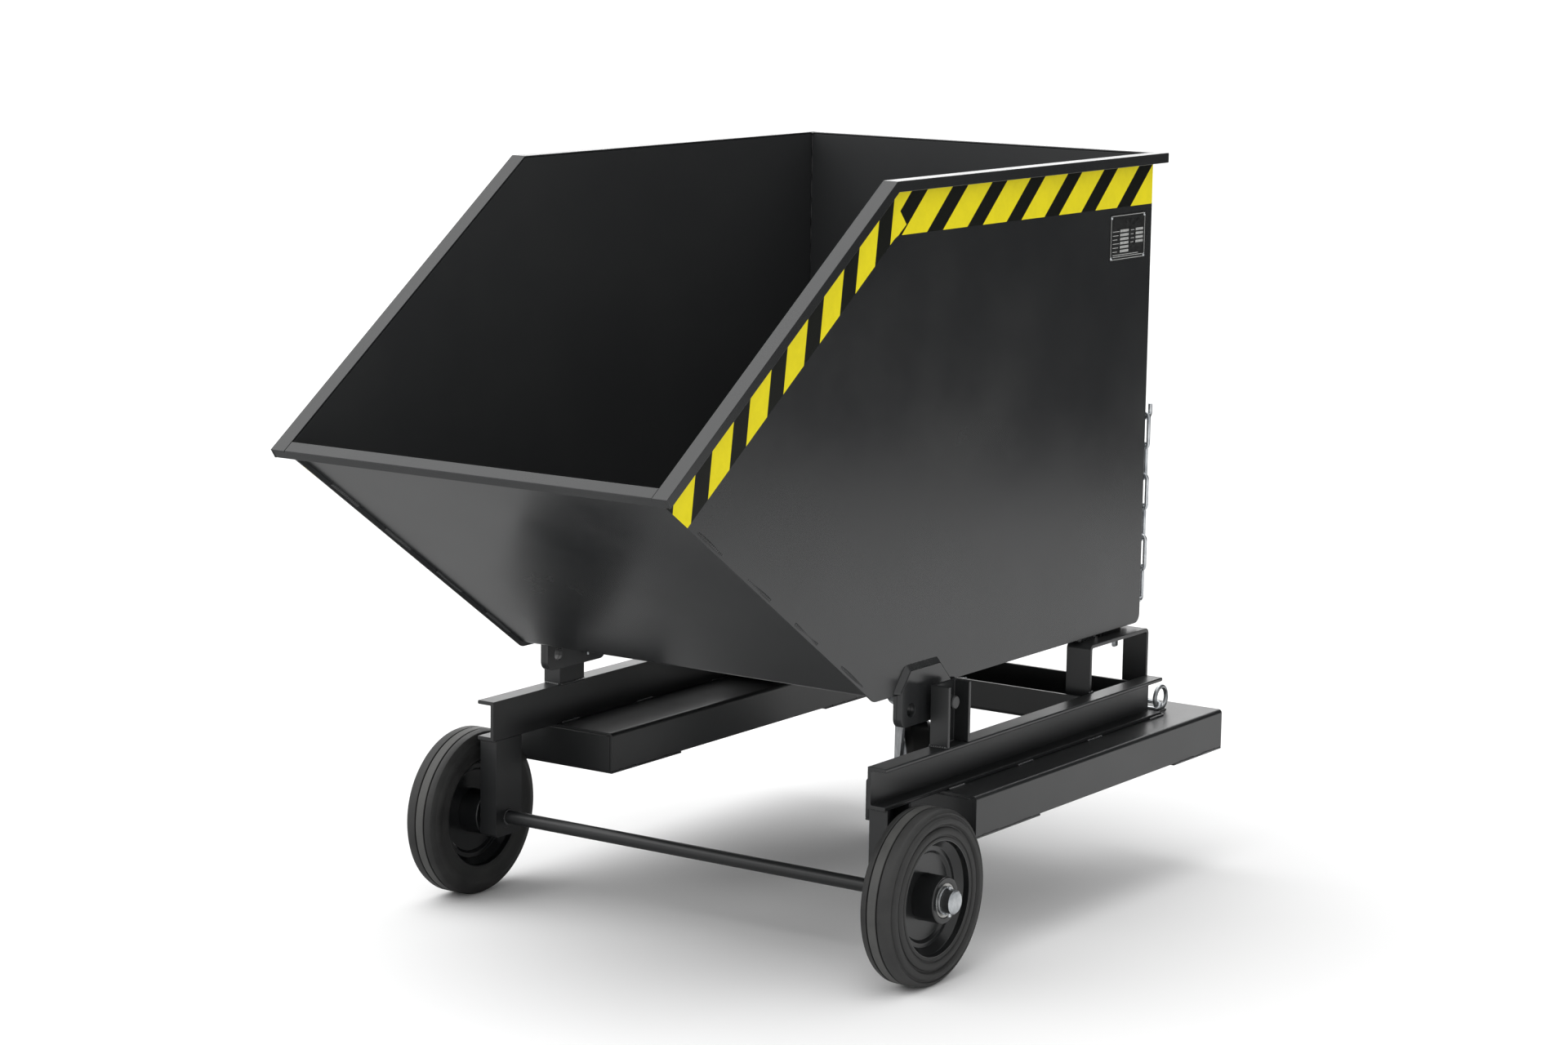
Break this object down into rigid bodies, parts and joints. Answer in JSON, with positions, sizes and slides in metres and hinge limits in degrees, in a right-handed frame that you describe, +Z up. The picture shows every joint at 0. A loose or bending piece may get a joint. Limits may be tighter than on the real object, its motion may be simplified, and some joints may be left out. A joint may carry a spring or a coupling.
{
  "type": "tipping skip trolley",
  "caption": "Small wheeled tipping skip: sheet-steel tub pivoted on a welded chassis with fork pockets, fixed front wheels and a rear castor.",
  "frame": {"origin": "on the ground, under the middle of the bounding box", "axes": "+Z up, -Y to the pouring lip and front wheels, +Y to the castor and the open ends of the fork pockets, +X the trolley's right-hand side seen from behind"},
  "size_m": [0.912, 1.354, 1.108],
  "materials": {
    "tub_paint": "satin black powder coat",
    "chassis_paint": "satin black powder coat",
    "wheel_paint": "black paint",
    "pedal_paint": "black coated",
    "tyre_rubber": "solid black rubber",
    "zinc_steel": "bright zinc plate",
    "bearing_steel": "ground steel",
    "warning_tape": "yellow and black diagonal stripes",
    "type_plate": "black printed plate with blank fields"
  },
  "bodies": {
    "root": {"side_rail_left": "chassis_paint", "side_rail_right": "chassis_paint", "front_leg_left": "chassis_paint", "front_leg_right": "chassis_paint", "pivot_bracket_left": "chassis_paint", "pivot_bracket_right": "chassis_paint", "rear_support_left": "chassis_paint", "rear_support_right": "chassis_paint", "fork_pocket_left": "chassis_paint", "fork_pocket_right": "chassis_paint", "pocket_end_plates": "chassis_paint", "pocket_straps": "chassis_paint", "pivot_pins": "zinc_steel", "pivot_split_pins": "zinc_steel", "castor_cross_member": "chassis_paint", "castor_top_plate": "zinc_steel", "castor_bolts": "zinc_steel", "castor_nuts": "zinc_steel", "castor_kingpin": "zinc_steel", "wheel_axle": "zinc_steel", "axle_washers": "zinc_steel", "axle_split_pins": "zinc_steel", "latch_guide": "chassis_paint", "lashing_eye": "chassis_paint", "lashing_eye_chain": "zinc_steel"},
    "tub": {"tub_side_left": "tub_paint", "tub_side_right": "tub_paint", "tub_wrapper": "tub_paint", "tub_rim_left": "tub_paint", "tub_rim_right": "tub_paint", "tub_rim_front": "tub_paint", "tub_rim_back": "tub_paint", "pivot_ear_left": "tub_paint", "pivot_ear_right": "tub_paint", "pivot_ear_doublers": "tub_paint", "tub_rest_pads": "tub_paint", "latch_eye": "tub_paint", "type_plate": "type_plate", "warning_tape_left": "warning_tape", "warning_tape_right": "warning_tape", "push_handle": "tub_paint", "chain_hook": "zinc_steel", "tub_chain": "zinc_steel"},
    "wheel_left": {"tyre_left": "tyre_rubber", "wheel_rim_left": "wheel_paint", "wheel_hub_left": "wheel_paint", "hub_bearing_left": "bearing_steel"},
    "wheel_right": {"tyre_right": "tyre_rubber", "wheel_rim_right": "wheel_paint", "wheel_hub_right": "wheel_paint", "hub_bearing_right": "bearing_steel"},
    "castor_swivel": {"castor_ball_race": "zinc_steel", "castor_fork": "zinc_steel", "castor_axle_bolt": "zinc_steel", "castor_axle_nut": "zinc_steel"},
    "castor_wheel": {"castor_tyre": "tyre_rubber", "castor_rim": "zinc_steel"},
    "brake_pedal": {"castor_brake_pedal": "pedal_paint"},
    "latch": {"latch_bolt": "zinc_steel"}
  },
  "joints": [
    {"name": "tub_tip", "type": "hinge", "parent": "root", "child": "tub", "pos_m": [0, -0.011, 0.366], "axis": [1, 0, 0], "range_deg": [0, 55]},
    {"name": "wheel_left_spin", "type": "hinge", "parent": "root", "child": "wheel_left", "pos_m": [-0.4015, -0.164, 0.125], "axis": [1, 0, 0], "continuous": true},
    {"name": "wheel_right_spin", "type": "hinge", "parent": "root", "child": "wheel_right", "pos_m": [0.4015, -0.164, 0.125], "axis": [1, 0, 0], "continuous": true},
    {"name": "castor_swivel_turn", "type": "hinge", "parent": "root", "child": "castor_swivel", "pos_m": [0, 0.456, 0.23], "axis": [0, 0, 1], "continuous": true},
    {"name": "castor_wheel_spin", "type": "hinge", "parent": "castor_swivel", "child": "castor_wheel", "pos_m": [-0.02893, 0.49047, 0.1], "axis": [0.766, 0.6428, 0], "continuous": true},
    {"name": "castor_brake_press", "type": "hinge", "parent": "castor_swivel", "child": "brake_pedal", "pos_m": [-0.02571, 0.48664, 0.208], "axis": [-0.766, -0.6428, 0], "range_deg": [0, 5]},
    {"name": "latch_slide", "type": "slide", "parent": "root", "child": "latch", "axis": [0, -1, 0], "range_m": [0, 0.02]}
  ]
}
